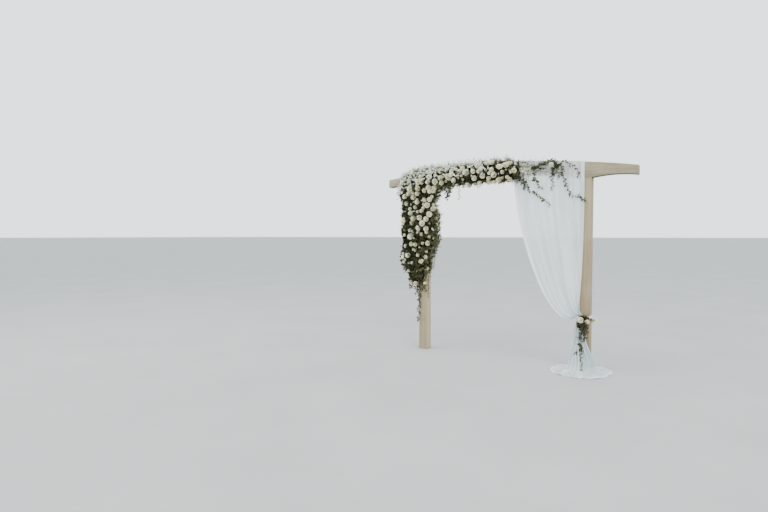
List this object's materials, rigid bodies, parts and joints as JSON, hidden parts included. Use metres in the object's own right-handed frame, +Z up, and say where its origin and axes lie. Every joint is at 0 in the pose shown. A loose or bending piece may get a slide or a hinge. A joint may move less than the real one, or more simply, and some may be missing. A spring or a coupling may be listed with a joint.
{
  "type": "ceremony arch",
  "caption": "Timber ceremony arch with a curved beam on square posts, a shoulder garland of flowers and foliage, and a sheer drape tied back to one post.",
  "frame": {"origin": "middle of the left post's foot, on the ground", "axes": "+X along the beam from the left post to the right post, +Y to the back, +Z up; the garland and the drape face -Y"},
  "size_m": [3.214, 0.724, 2.518],
  "materials": {
    "post_timber": "limewashed, matt",
    "beam_timber": "limewashed, matt, with grain along the beam",
    "garland": "cream roses in dark olive foliage",
    "sprigs": "thin stems with small leaves",
    "cloth": "sheer, fine soft folds",
    "tie": "plain band"
  },
  "bodies": {
    "root": {"post_left": "post_timber", "post_right": "post_timber", "beam": "beam_timber", "garland_post_lower": "garland", "garland_post_middle": "garland", "garland_post_upper": "garland", "garland_corner": "garland", "garland_beam_left": "garland", "garland_beam_middle": "garland", "garland_beam_right": "garland", "vine_over_drape": "garland", "hanging_sprig_1": "sprigs", "hanging_sprig_2": "sprigs", "hanging_sprig_3": "sprigs", "hanging_sprig_4": "sprigs", "hanging_sprig_5": "sprigs", "post_trail": "sprigs", "drape_header": "cloth", "drape_curtain": "cloth", "drape_skirt": "cloth", "drape_pool": "cloth", "tie_band": "tie", "tie_posy": "garland", "posy_trail": "sprigs"}
  },
  "joints": []
}
